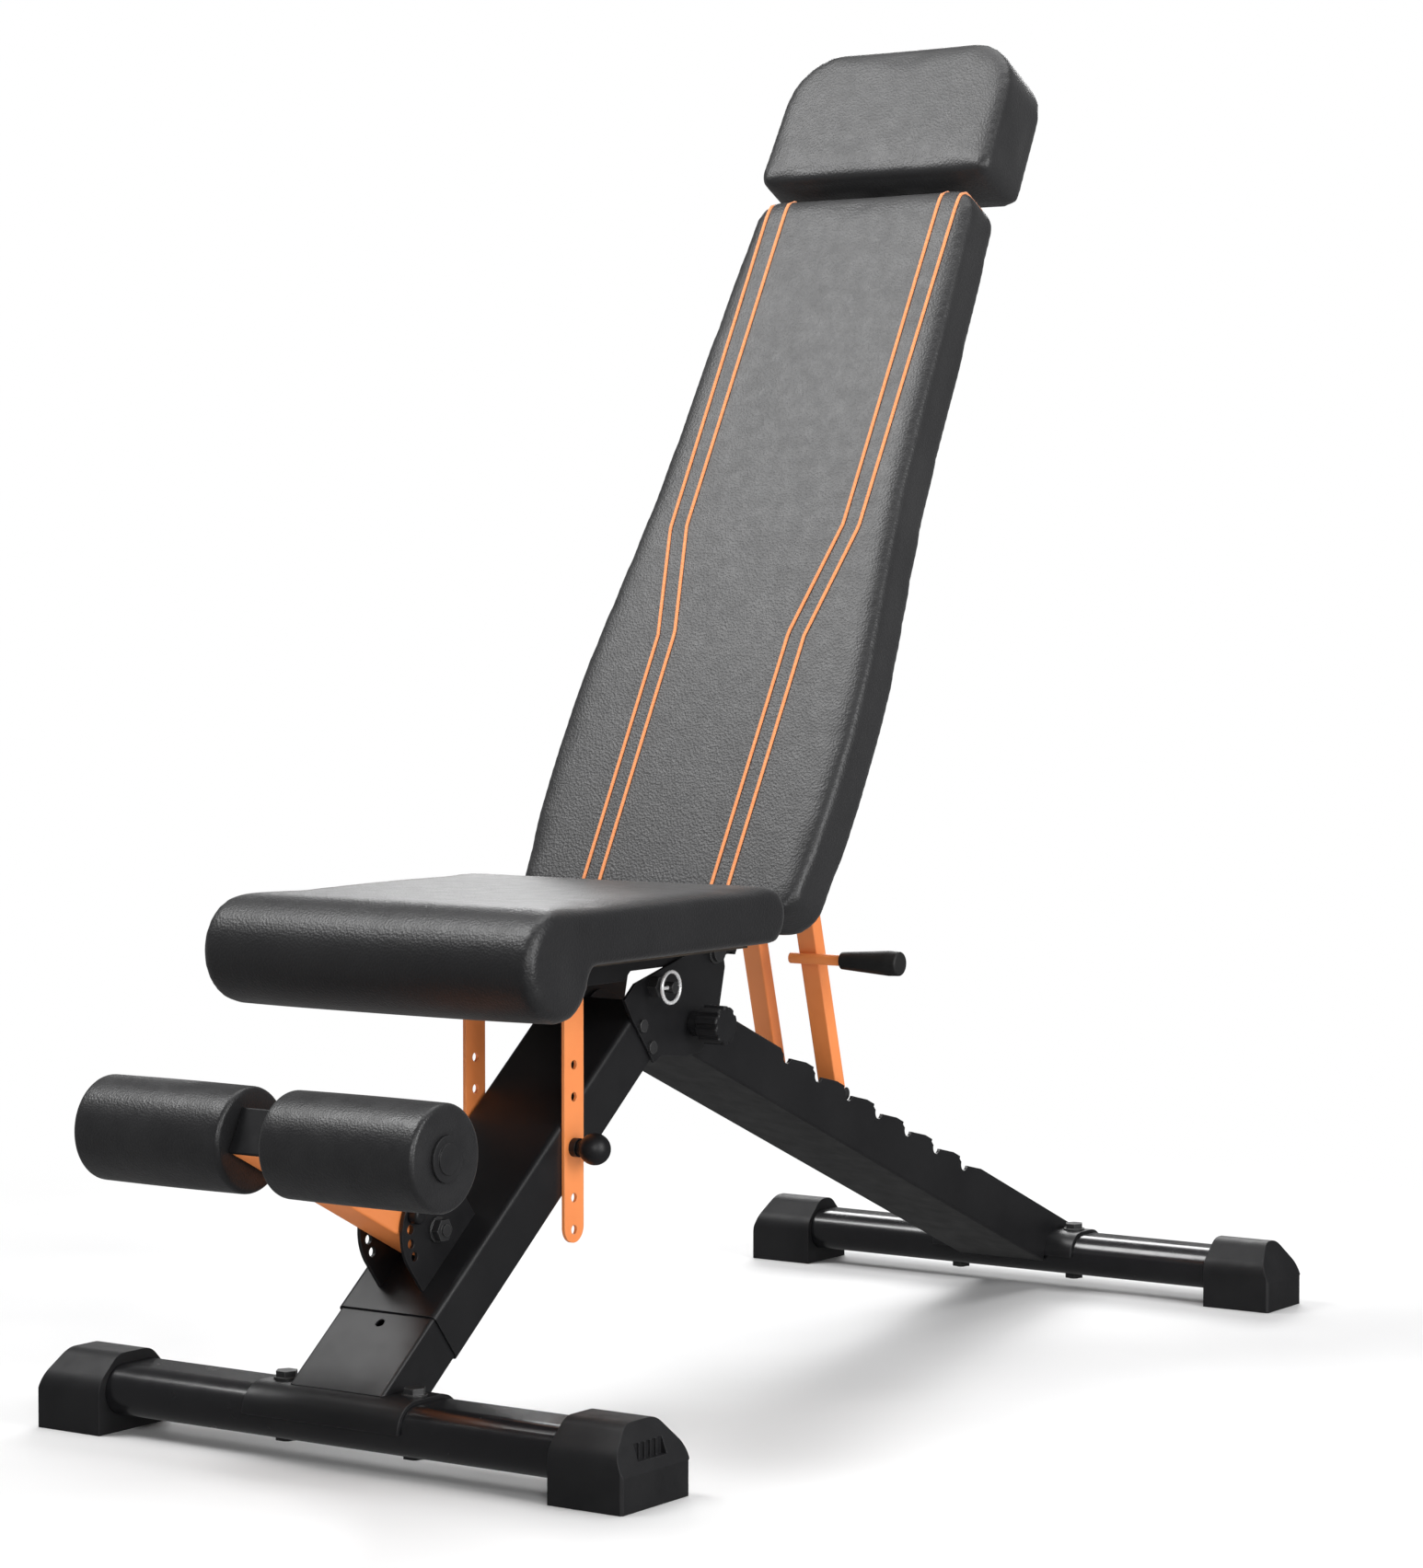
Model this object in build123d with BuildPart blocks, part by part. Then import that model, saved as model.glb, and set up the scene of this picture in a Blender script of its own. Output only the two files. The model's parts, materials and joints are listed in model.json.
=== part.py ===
"""Decline sit-up bench: folding two-leg frame, tilting seat, laddered backrest, foot rollers.

Millimetres. +X is the width, -Y the foot-roller end, +Y the backrest end, +Z up.
The origin is on the floor at the centre of the bench's footprint, in its mirror plane.
Side profiles are drawn on planes whose normal is +X, so a sketch there reads as a side view.
"""
import os
from math import atan2, cos, degrees, radians, sin

from build123d import *

os.makedirs("parts", exist_ok=True)

# ---------------------------------------------------------------- driving dimensions
BASE_HALF = 300.0          # half the width over the feet
FRONT_BASE_Y = -481.0
REAR_BASE_Y = 582.5
TUBE_BOTTOM = 14.0         # clearance of both base tubes above the floor
FRONT_TUBE = (74.0, 42.0)  # flat-oval front base tube, depth and height
REAR_TUBE = (60.0, 40.0)
TUBE_WALL = 2.0
FRONT_FOOT_DEPTH = 90.0
REAR_FOOT_DEPTH = 70.6
FOOT_LENGTH = 70.0
FOOT_HEIGHT = 65.0
SADDLE_HALF = 80.0
SADDLE_PLATE = 3.0
BASE_BOLT_X = 66.0

LEG_W, LEG_D, LEG_WALL = 100.0, 50.0, 2.0
FRONT_SLOPE = 38.6         # front leg, degrees above the floor
REAR_SLOPE = 23.05         # rear leg, degrees below level
SLEEVE = (-419.6, 93.9)    # y, z where the front leg's two sections meet
LEG_PIVOT = (-71.7, 319.7)     # rear leg folds here
HINGE = (-40.0, 380.0)         # seat and backrest share this hinge
PULL_PIN = (-133.0, 357.0)
HEAD_PLATE = 3.0
PLAY = 0.5                 # side gap between pieces that turn on one another
BOLT_D = 10.0
RUN = 0.05                 # radial running clearance

ARM_PIVOT = (-398.5, 177.4)
ROLLER_AXIS = (-575.0, 266.0)
ARM_SIZE = 38.0
QUADRANT_R = 44.0
QUADRANT_HOLE_R = 34.0
QUADRANT_STEP = 20.0       # degrees between the quadrant's lock holes
ROLLER_D, ROLLER_BORE = 85.0, 25.0
ROLLER_IN, ROLLER_OUT = 20.0, 172.0

NOTCHES, NOTCH_PITCH, NOTCH_S, NOTCH_H = 7, 56.7, 158.6, 20.5
ROD_D = 12.0

SEAT_HALF = 172.5
SEAT_TOP, SEAT_BOTTOM = 446.8, 395.0
SEAT_REAR = -92.0
SEAT_ROLL_R = 47.3
SEAT_ROLL_Y = -424.2
BOARD = 12.0
RAIL_PLATE = 3.0
BAR_W, BAR_T, BAR_HOLE = 27.0, 3.0, 8.0
BAR_Y, BAR_TOP, BAR_BOTTOM = -250.0, 376.0, 150.0
BAR_PIN_Z = 230.5
BAR_HOLES = (69.5, 42.5, 0.0, -42.5, -69.5)    # above and below the lock pin

BACK_LEAN = 61.34          # backrest, degrees above level
BACK_FOOT = (-54.6, 443.3)     # where the backrest's face meets the seat's top
BACK_T = 50.0
BACK_LOW, BACK_HIGH = -33.0, 724.0
RAIL_IN, RAIL_OUT, RAIL_DEEP = 22.0, 42.0, 40.0
PROP_PIVOT_S, PROP_PIVOT_OFF = 150.8, -104.0
PROP_X, PROP_W, PROP_T = 31.4, 20.0, 15.0
HANDLE_UP = 136.0          # handle rod above the prop's cross rod

HEAD_LOW, HEAD_HIGH, HEAD_HALF, HEAD_T = 734.0, 888.0, 132.0, 72.0
HEAD_FRONT = 5.0           # the head pad stands this far ahead of the back pad's face
HEAD_BACK = HEAD_FRONT - HEAD_T


# ---------------------------------------------------------------- frames of reference
def side_plane(origin, angle):
    """A side-view plane at x = 0 whose local x axis rises at the given angle."""
    a = radians(angle)
    return Plane(origin=(0, *origin), x_dir=(0, cos(a), sin(a)), z_dir=(1, 0, 0))


def in_frame(plane, point):
    """A side-view point (y, z) in a side plane's own coordinates."""
    local = plane.to_local_coords(Vector(0, *point))
    return (local.X, local.Y)


def in_side(plane, point):
    """A point of a side plane as (y, z)."""
    world = plane.from_local_coords(Vector(point[0], point[1], 0))
    return (world.Y, world.Z)


SIDE = Plane.YZ
FRONT = side_plane(SLEEVE, FRONT_SLOPE)
REAR = side_plane(LEG_PIVOT, -REAR_SLOPE)
BACK = side_plane(BACK_FOOT, BACK_LEAN)
FACE = Plane(origin=(0, *BACK_FOOT), x_dir=(1, 0, 0), z_dir=BACK.y_dir)
PROP_PIVOT = in_side(BACK, (PROP_PIVOT_S, PROP_PIVOT_OFF))
ROD = in_side(REAR, (NOTCH_S + 2 * NOTCH_PITCH, NOTCH_H))
PROP_ANGLE = degrees(atan2(ROD[1] - PROP_PIVOT[1], ROD[0] - PROP_PIVOT[0]))
PROP = side_plane(PROP_PIVOT, PROP_ANGLE)
PROP_LENGTH = in_frame(PROP, ROD)[0]
ARM_ANGLE = degrees(atan2(ROLLER_AXIS[1] - ARM_PIVOT[1], ROLLER_AXIS[0] - ARM_PIVOT[0]))
ARM = side_plane(ARM_PIVOT, ARM_ANGLE)
ARM_LENGTH = in_frame(ARM, ROLLER_AXIS)[0]


def save(part, name):
    part.label = name
    export_step(part, "parts/" + name + ".step")


def sides():
    """The right (+X) and left (-X) sides, as name and sign."""
    return (("right", 1), ("left", -1))


def layer(plane, sign, near, thick):
    """A side plane at |x| = near, and the extrusion that goes outwards by thick."""
    return plane.offset(sign * near), sign * thick


def rod_at(point, radius, x0, x1, mode=Mode.ADD):
    """A round bar along X through a side-view point."""
    with BuildSketch(SIDE.offset(x0)) as section:
        with Locations(point):
            Circle(radius)
    extrude(section.sketch, amount=x1 - x0, mode=mode)


def hex_at(point, across, x0, x1):
    """A hexagon nut or head along X."""
    with BuildSketch(SIDE.offset(x0)) as section:
        with Locations(point):
            RegularPolygon(across / 2, 6, major_radius=False)
    extrude(section.sketch, amount=x1 - x0)


def cross_bolt(point, reach, diameter, head=8.0, far_nut=True):
    """A bolt along X: domed head on the left, nut and washers outside |x| = reach."""
    r = diameter / 2
    tip = reach + (11 if far_nut else 3)
    rod_at(point, r, -reach - 2, tip)
    rod_at(point, r * 2.1, -reach - 2, -reach)
    rod_at(point, r * 1.7, -reach - head, -reach - 2)
    if far_nut:
        rod_at(point, r * 2.1, reach, reach + 2)
        hex_at(point, diameter * 1.7, reach + 2, reach + 9)


# ---------------------------------------------------------------- bases
def oval_profile(depth, height, grow=0.0, mode=Mode.ADD):
    SlotOverall(depth + 2 * grow, height + 2 * grow, mode=mode)


def base_tube(name, y, size):
    z = TUBE_BOTTOM + size[1] / 2
    with BuildPart() as tube:
        with BuildSketch(SIDE):
            with Locations((y, z)):
                oval_profile(*size)
                oval_profile(*size, grow=-TUBE_WALL, mode=Mode.SUBTRACT)
        extrude(amount=BASE_HALF - 12, both=True)
        with Locations((BASE_BOLT_X, y, z), (-BASE_BOLT_X, y, z)):
            Cylinder(5.1, size[1] + 10, mode=Mode.SUBTRACT)
    save(tube.part, name)


def base_foot(name, sign, y, depth, size, window):
    """A moulded cap: square block below, rounded over the tube, its outer end leaning in."""
    z = TUBE_BOTTOM + size[1] / 2
    plane, length = layer(SIDE, sign, BASE_HALF - FOOT_LENGTH, FOOT_LENGTH)
    with BuildPart() as foot:
        with BuildSketch(plane):
            with BuildLine():
                Polyline((y - depth / 2, 0), (y - depth / 2, FOOT_HEIGHT - 22),
                         (y - depth / 2 + 24, FOOT_HEIGHT), (y + depth / 2 - 26, FOOT_HEIGHT),
                         (y + depth / 2, FOOT_HEIGHT - 26), (y + depth / 2, 0),
                         close=True)
            make_face()
        extrude(amount=length)
        crown = foot.edges().filter_by(Axis.X).filter_by(lambda e: e.center().Z > 30)
        fillet(crown, 20)
        with BuildSketch(Plane.XZ.offset(-y)):
            with BuildLine():
                Polyline((sign * BASE_HALF, 28), (sign * (BASE_HALF - 20), 80),
                         (sign * (BASE_HALF + 30), 80), (sign * (BASE_HALF + 30), 28),
                         close=True)
            make_face()
        extrude(amount=depth, both=True, mode=Mode.SUBTRACT)
        upright = foot.edges().filter_by(Axis.Z).filter_by(lambda e: abs(e.center().X) > 299)
        chamfer(upright, 2)
        with BuildSketch(plane):
            with Locations((y, z)):
                oval_profile(*size)
        extrude(amount=sign * (FOOT_LENGTH - 12), mode=Mode.SUBTRACT)
        if window:
            floor = SIDE.offset(sign * (BASE_HALF - 9.5))
            with BuildSketch(floor):
                with Locations((y, 43)):
                    Rectangle(38, 13)
            extrude(amount=sign * 20, mode=Mode.SUBTRACT)
            with BuildSketch(floor):
                with Locations((y, 43)):
                    with GridLocations(7.5, 0, 4, 1):
                        Rectangle(2.5, 13)
            extrude(amount=sign * 2)
    save(foot.part, name)


def base_saddle(name, y, size):
    """A bent plate over the top half of a base tube."""
    z = TUBE_BOTTOM + size[1] / 2
    with BuildPart() as saddle:
        with BuildSketch(SIDE):
            with Locations((y, z)):
                oval_profile(*size, grow=SADDLE_PLATE)
                oval_profile(*size, mode=Mode.SUBTRACT)
            with Locations((y, z - size[1] / 2)):
                Rectangle(2 * size[0], size[1], mode=Mode.SUBTRACT)
        extrude(amount=SADDLE_HALF, both=True)
        with Locations((BASE_BOLT_X, y, z + size[1] / 2), (-BASE_BOLT_X, y, z + size[1] / 2)):
            Cylinder(5.1, 20, mode=Mode.SUBTRACT)
    save(saddle.part, name)


def base_bolts(name, y, size):
    """Carriage bolts down through saddle and tube, with dome nuts below."""
    top = TUBE_BOTTOM + size[1] + SADDLE_PLATE
    with BuildPart() as bolts:
        for x in (-BASE_BOLT_X, BASE_BOLT_X):
            with BuildSketch(Plane.XY.offset(TUBE_BOTTOM - 6)):
                with Locations((x, y)):
                    Circle(4.9)
            extrude(amount=top - TUBE_BOTTOM + 6)
            with BuildSketch(Plane.XY.offset(TUBE_BOTTOM - 5)):
                with Locations((x, y)):
                    RegularPolygon(8.5, 6, major_radius=False)
            extrude(amount=5)
            with BuildSketch(Plane.XY.offset(top)):
                with Locations((x, y)):
                    Circle(10.5)
            extrude(amount=1.6)
            with BuildSketch(Plane.XY.offset(top + 1.6)):
                with Locations((x, y)):
                    RegularPolygon(8.0, 6, major_radius=False)
            extrude(amount=5)
    save(bolts.part, name)


for base, y, depth, size in (("front", FRONT_BASE_Y, FRONT_FOOT_DEPTH, FRONT_TUBE),
                             ("rear", REAR_BASE_Y, REAR_FOOT_DEPTH, REAR_TUBE)):
    base_tube(base + "_base_tube", y, size)
    for side, sign in sides():
        base_foot(base + "_foot_" + side, sign, y, depth, size, base == "front")
    base_saddle(base + "_saddle", y, size)
    base_bolts(base + "_base_bolts", y, size)

# ---------------------------------------------------------------- front leg
def box_tube(plane, start, end, width, depth, wall):
    """A rectangular tube along a side plane's x axis, square at both ends."""
    middle, length = (start + end) / 2, end - start
    with BuildSketch(plane) as outside:
        with Locations((middle, 0)):
            Rectangle(length, depth)
    extrude(outside.sketch, amount=width / 2, both=True)
    with BuildSketch(plane) as inside:
        with Locations((middle, 0)):
            Rectangle(length + 40, depth - 2 * wall)
    extrude(inside.sketch, amount=width / 2 - wall, both=True, mode=Mode.SUBTRACT)


def round_corners(part, direction, radius):
    """Round a tube's four long outer edges."""
    runs = part.edges().filter_by(lambda e: e.geom_type == GeomType.LINE)
    runs = runs.filter_by(lambda e: abs(abs((e % 0.5).dot(direction)) - 1) < 1e-4)
    far = max(abs(e.center().X) for e in runs)
    fillet(runs.filter_by(lambda e: abs(e.center().X) > far - 0.01), radius)


def cope(y, size, outward):
    """Cut a leg's foot to sit on its base tube and saddle."""
    z = TUBE_BOTTOM + size[1] / 2
    top = z + size[1] / 2 + SADDLE_PLATE
    with BuildSketch(SIDE) as seat:
        with Locations((y, z)):
            oval_profile(*size, grow=SADDLE_PLATE)
        with Locations((y + outward * 200, top - 200)):
            Rectangle(400, 400)
    extrude(seat.sketch, amount=LEG_W, both=True, mode=Mode.SUBTRACT)


with BuildPart() as lower_leg:
    box_tube(FRONT, -120, 80, LEG_W - 2 * LEG_WALL, LEG_D - 2 * LEG_WALL, LEG_WALL)
    round_corners(lower_leg, FRONT.x_dir, 3)
    cope(FRONT_BASE_Y, FRONT_TUBE, -1)
    with Locations(FRONT * Location((-11, 20, 0), (90, 0, 0))):
        Cylinder(4, 20, mode=Mode.SUBTRACT)
save(lower_leg.part, "front_leg_lower")

UPPER_END_TOP, UPPER_END_LOW = 372.0, 350.0
with BuildPart() as upper_leg:
    box_tube(FRONT, 0, 400, LEG_W, LEG_D, LEG_WALL)
    round_corners(upper_leg, FRONT.x_dir, 5)
    with BuildSketch(FRONT):
        with BuildLine():
            Polyline((UPPER_END_TOP, LEG_D), (UPPER_END_TOP, LEG_D / 2),
                     (UPPER_END_LOW, -LEG_D / 2), (UPPER_END_LOW, -LEG_D),
                     (500, -LEG_D), (500, LEG_D), close=True)
        make_face()
    extrude(amount=LEG_W, both=True, mode=Mode.SUBTRACT)
    rod_at((BAR_Y, BAR_PIN_Z), 4.2, 40, 60, mode=Mode.SUBTRACT)
save(upper_leg.part, "front_leg_upper")

# ---------------------------------------------------------------- head plates and main bolts
SEAM = 347.0     # distance up the front leg where the head plates start
REACH = LEG_W / 2 + HEAD_PLATE


def circle_hole(point, radius):
    with Locations(point):
        Circle(radius, mode=Mode.SUBTRACT)


for side, sign in sides():
    plane, thick = layer(SIDE, sign, LEG_W / 2, HEAD_PLATE)
    with BuildPart() as head_plate:
        with BuildSketch(plane):
            with BuildLine():
                Polyline(in_side(FRONT, (SEAM, LEG_D / 2)),
                         (-176, 348), (-160, 361), (-60, 386), (-48, 391), (-33, 391), (-27, 380),
                         (-24, 366), (-33, 330), (-45, 309), (-60, 294), (-84, 292),
                         in_side(FRONT, (SEAM + 12, -LEG_D / 2 - 3)),
                         in_side(FRONT, (SEAM, -LEG_D / 2)), close=True)
            make_face()
            fillet(vertices().filter_by(lambda v: v.X > -60), 4)
            circle_hole(LEG_PIVOT, BOLT_D / 2)
            circle_hole(HINGE, BOLT_D / 2)
            circle_hole(PULL_PIN, 4.1 if sign > 0 else 3.0)
        extrude(amount=thick)
    save(head_plate.part, "head_plate_" + side)

with BuildPart() as leg_bolt:
    cross_bolt(LEG_PIVOT, REACH, BOLT_D, far_nut=False)
save(leg_bolt.part, "rear_leg_pivot_bolt")

with BuildPart() as hinge_bolt:
    cross_bolt(HINGE, REACH, BOLT_D, head=6.0, far_nut=False)
    rod_at(HINGE, BOLT_D, REACH, REACH + 2)
    rod_at(HINGE, BOLT_D * 0.85, REACH + 2, REACH + 6)
save(hinge_bolt.part, "main_hinge_bolt")

with BuildPart() as screws:
    for side, sign in sides():
        for t, h in ((354, 12), (352.5, -12)):
            rod_at(in_side(FRONT, (t, h)), 5.5, sign * REACH, sign * (REACH + 2.5))
    for t in (25, 62):
        with Locations(FRONT * Location((t, -LEG_D / 2 - 1.5, 0), (90, 0, 0))):
            Cylinder(7, 3)
save(screws.part, "frame_screws")

# ---------------------------------------------------------------- rear leg
REAR_SADDLE_TOP = TUBE_BOTTOM + REAR_TUBE[1] + SADDLE_PLATE
REAR_W = LEG_W - 1.0
WALL = 3.0
HALF_D = LEG_D / 2
CHANNEL_END = in_frame(REAR, (REAR_BASE_Y + 20, REAR_SADDLE_TOP))[0] + 40
with BuildPart() as rear_leg:
    with BuildSketch(REAR):
        with Locations((CHANNEL_END / 2, 0)):
            Rectangle(CHANNEL_END, LEG_D)
        Circle(HALF_D)
    extrude(amount=REAR_W / 2, both=True)
    with BuildSketch(REAR):
        with Locations((CHANNEL_END / 2 - 20, WALL)):
            Rectangle(CHANNEL_END + 140, LEG_D)
        with Locations((-HALF_D, -HALF_D)):
            Rectangle(2 * HALF_D, 2 * LEG_D)
    extrude(amount=REAR_W / 2 - WALL, both=True, mode=Mode.SUBTRACT)
    # the notches: a seat for the cross rod, then a sloping tooth to the next one
    for k in range(NOTCHES):
        s = NOTCH_S + k * NOTCH_PITCH
        with BuildSketch(REAR):
            with Locations((s, NOTCH_H)):
                Circle(ROD_D / 2 + 0.5)
            with BuildLine():
                Polyline((s + 6.5, NOTCH_H), (s + 10, NOTCH_H + 0.5), (s + NOTCH_PITCH - 22, HALF_D + 0.5),
                         (s + NOTCH_PITCH - 22, HALF_D + 20), (s - 11, HALF_D + 20),
                         (s - 11, NOTCH_H + 2), (s - 6.5, NOTCH_H), close=True)
            make_face()
        extrude(amount=REAR_W, both=True, mode=Mode.SUBTRACT)
    cope(REAR_BASE_Y, REAR_TUBE, 1)
    rod_at(LEG_PIVOT, BOLT_D / 2 + RUN, -REAR_W, REAR_W, mode=Mode.SUBTRACT)
    outer = rear_leg.edges().filter_by(lambda e: e.geom_type == GeomType.LINE)
    outer = outer.filter_by(lambda e: e.length > 500 and abs(e.center().X) > REAR_W / 2 - 0.1)
    fillet(outer, 2.5)
save(rear_leg.part, "rear_leg_channel")

# ribbed hand knob on the rear leg's pivot bolt
with BuildPart() as leg_knob:
    x = REACH + 0.3
    with BuildSketch(SIDE.offset(x)):
        with Locations(LEG_PIVOT):
            Circle(11)
    extrude(amount=12)
    with BuildSketch(SIDE.offset(x + 12)):
        with Locations(LEG_PIVOT):
            Circle(17)
            with PolarLocations(17.6, 10):
                Circle(2.6, mode=Mode.SUBTRACT)
    extrude(amount=22)
    fillet(leg_knob.faces().sort_by(Axis.X)[-1].edges(), 2)
    rod_at(LEG_PIVOT, BOLT_D / 2 + RUN, x - 1, x + 5, mode=Mode.SUBTRACT)
save(leg_knob.part, "rear_leg_knob")

# ---------------------------------------------------------------- spring pull pin and its ring
PIN_R = 4.0
RING_X = REACH + 18.0
with BuildPart() as housing:
    hex_at(PULL_PIN, 17, REACH, REACH + 9)
    rod_at(PULL_PIN, PIN_R + RUN, REACH - 1, REACH + 10, mode=Mode.SUBTRACT)
save(housing.part, "pull_pin_housing")

with BuildPart() as pull_pin:
    rod_at(PULL_PIN, PIN_R, LEG_W / 2 + 0.3, REACH + 9.3)
    rod_at(PULL_PIN, 5, REACH + 9.3, REACH + 23)
    with BuildSketch(Plane.XZ.offset(-PULL_PIN[0])):
        with Locations((RING_X, PULL_PIN[1])):
            Circle(1.6 + RUN)
    extrude(amount=20, both=True, mode=Mode.SUBTRACT)
save(pull_pin.part, "pull_pin")

with BuildPart() as ring:
    with BuildSketch(Plane.XY.offset(PULL_PIN[1])):
        with Locations((RING_X, PULL_PIN[0] + 13.5)):
            Circle(1.6)
    revolve(axis=Axis((RING_X, PULL_PIN[0], PULL_PIN[1]), (1, 0, 0)), revolution_arc=360)
    with BuildSketch(Plane.XZ.offset(-PULL_PIN[0])):
        with Locations((RING_X, PULL_PIN[1])):
            Circle(1.6)
    extrude(amount=13.5, both=True)
save(ring.part, "pull_ring")

# ---------------------------------------------------------------- foot-roller arm
LOCK_HOLES = [(QUADRANT_HOLE_R * cos(radians(a)), QUADRANT_HOLE_R * sin(radians(a)))
              for a in (QUADRANT_STEP * k for k in range(4))]
for side, sign in sides():
    plane, thick = layer(ARM, sign, ARM_SIZE / 2 + 1.5, 3)
    foot_line, thick = layer(FRONT, sign, ARM_SIZE / 2 + 1.5, 3)
    pivot = in_frame(FRONT, ARM_PIVOT)
    with BuildPart() as quadrant:
        with BuildSketch(foot_line):
            with Locations(pivot):
                Circle(QUADRANT_R)
            with Locations((pivot[0], pivot[1] - 20)):
                Rectangle(2 * QUADRANT_R, 40)
            with Locations((pivot[0], -75)):
                Rectangle(300, 2 * (75 + LEG_D / 2), mode=Mode.SUBTRACT)
        extrude(amount=thick)
        with BuildSketch(plane):
            Circle(BOLT_D / 2)
            for hole in LOCK_HOLES:
                with Locations(hole):
                    Circle(PIN_R + RUN)
        extrude(amount=thick, mode=Mode.SUBTRACT)
    save(quadrant.part, "arm_quadrant_" + side)

QUADRANT_REACH = ARM_SIZE / 2 + 4.5
with BuildPart() as arm_bolt:
    cross_bolt(ARM_PIVOT, QUADRANT_REACH, BOLT_D, head=6.0)
save(arm_bolt.part, "arm_pivot_bolt")

LOCK_PIN = in_side(ARM, LOCK_HOLES[0])
with BuildPart() as arm_pin:
    rod_at(LOCK_PIN, PIN_R, ARM_SIZE / 2 + 1.6, QUADRANT_REACH + 4)
    rod_at(LOCK_PIN, 7, QUADRANT_REACH + 0.3, QUADRANT_REACH + 9)
    fillet(arm_pin.faces().sort_by(Axis.X)[-1].edges(), 3)
save(arm_pin.part, "arm_lock_pin")

ARM_TAIL, ARM_NOSE = -17.0, 24.0
with BuildPart() as arm:
    box_tube(ARM, ARM_TAIL, ARM_LENGTH + ARM_NOSE - 3, ARM_SIZE, ARM_SIZE, 2)
    round_corners(arm, ARM.x_dir, 2.5)
    rod_at(ARM_PIVOT, BOLT_D / 2 + RUN, -40, 40, mode=Mode.SUBTRACT)
    rod_at(ROLLER_AXIS, 8, -40, 40, mode=Mode.SUBTRACT)
save(arm.part, "arm_tube")

with BuildPart() as arm_cap:
    with BuildSketch(ARM):
        with Locations((ARM_LENGTH + ARM_NOSE - 1.5, 0)):
            Rectangle(3, ARM_SIZE)
    extrude(amount=ARM_SIZE / 2, both=True)
    with BuildSketch(ARM):
        with Locations((ARM_LENGTH + ARM_NOSE - 7, 0)):
            Rectangle(8, ARM_SIZE - 4)
    extrude(amount=ARM_SIZE / 2 - 2, both=True)
    rims = arm_cap.edges().filter_by(Axis.X)
    fillet(rims.group_by(lambda e: in_frame(ARM, (e.center().Y, e.center().Z))[0])[-1], 1)
save(arm_cap.part, "arm_end_cap")

with BuildPart() as axle:
    rod_at(ROLLER_AXIS, 8, 2.0 - ROLLER_OUT, ROLLER_OUT - 2.0)
save(axle.part, "roller_axle")

for side, sign in sides():
    with BuildPart() as roller:
        rod_at(ROLLER_AXIS, ROLLER_D / 2, sign * ROLLER_IN, sign * ROLLER_OUT)
        fillet(roller.edges().filter_by(GeomType.CIRCLE), 5)
        rod_at(ROLLER_AXIS, ROLLER_BORE / 2, sign * ROLLER_IN, sign * ROLLER_OUT, mode=Mode.SUBTRACT)
    save(roller.part, "foam_roller_" + side)
    with BuildPart() as plug:
        rod_at(ROLLER_AXIS, ROLLER_BORE / 2, sign * ROLLER_IN, sign * ROLLER_OUT)
        rod_at(ROLLER_AXIS, 18, sign * ROLLER_OUT, sign * (ROLLER_OUT + 2))
        rod_at(ROLLER_AXIS, 12, sign * (ROLLER_OUT + 2), sign * (ROLLER_OUT + 3.5))
        rod_at(ROLLER_AXIS, 8 + RUN, 0, sign * (ROLLER_OUT - 1.5), mode=Mode.SUBTRACT)
    save(plug.part, "roller_plug_" + side)

# ---------------------------------------------------------------- seat
FLANGE_OUT = LEG_W / 2 - 1.0
for side, sign in sides():
    plane, thick = layer(SIDE, sign, FLANGE_OUT - RAIL_PLATE, RAIL_PLATE)
    with BuildPart() as rail:
        with BuildSketch(plane):
            with BuildLine():
                Polyline((-330, SEAT_BOTTOM), (-330, 375), (-318, 364), (-172, 364), (-162, 372),
                         (-54, 372), (-47, 369),
                         (-33, 369), (-27, 376), (-27, 384), (-33, 391), (-47, 391),
                         (-60, SEAT_BOTTOM), close=True)
            make_face()
            circle_hole(HINGE, BOLT_D / 2 + RUN)
            circle_hole((BAR_Y, BAR_TOP), 5 + RUN)
        extrude(amount=thick)
        with BuildSketch(Plane.XY.offset(SEAT_BOTTOM)):
            with Locations((sign * (FLANGE_OUT + 12.5), -209)):
                Rectangle(31, 240)
        extrude(amount=-RAIL_PLATE)
    save(rail.part, "seat_rail_" + side)

with BuildPart() as cross_plate:
    with BuildSketch(Plane.XY.offset(SEAT_BOTTOM)):
        with Locations((0, -305)):
            Rectangle(2 * (FLANGE_OUT - RAIL_PLATE), 40)
    extrude(amount=-RAIL_PLATE)
save(cross_plate.part, "seat_cross_plate")

BOARD_FRONT, BOARD_REAR = -400.0, -126.0


def board_outline():
    with Locations((0, (BOARD_FRONT + BOARD_REAR) / 2)):
        RectangleRounded(2 * SEAT_HALF - 40, BOARD_REAR - BOARD_FRONT, 15)


with BuildPart() as seat_board:
    with BuildSketch(Plane.XY.offset(SEAT_BOTTOM)):
        board_outline()
    extrude(amount=BOARD)
save(seat_board.part, "seat_board")

with BuildPart() as seat_cushion:
    with BuildSketch(SIDE):
        with Locations((SEAT_ROLL_Y, SEAT_TOP - SEAT_ROLL_R)):
            Circle(SEAT_ROLL_R)
        with Locations(((SEAT_ROLL_Y + SEAT_REAR) / 2, (SEAT_TOP + SEAT_BOTTOM) / 2)):
            Rectangle(SEAT_REAR - SEAT_ROLL_Y, SEAT_TOP - SEAT_BOTTOM)
        fillet(vertices().filter_by(lambda v: v.X > SEAT_REAR - 1), 24)
    extrude(amount=SEAT_HALF, both=True)
    ends = seat_cushion.faces().sort_by(Axis.X)
    fillet(ends[-1].edges() + ends[0].edges(), 8)
    with BuildSketch(Plane.XY.offset(SEAT_BOTTOM)):
        board_outline()
    extrude(amount=BOARD, mode=Mode.SUBTRACT)
save(seat_cushion.part, "seat_cushion")

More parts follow.
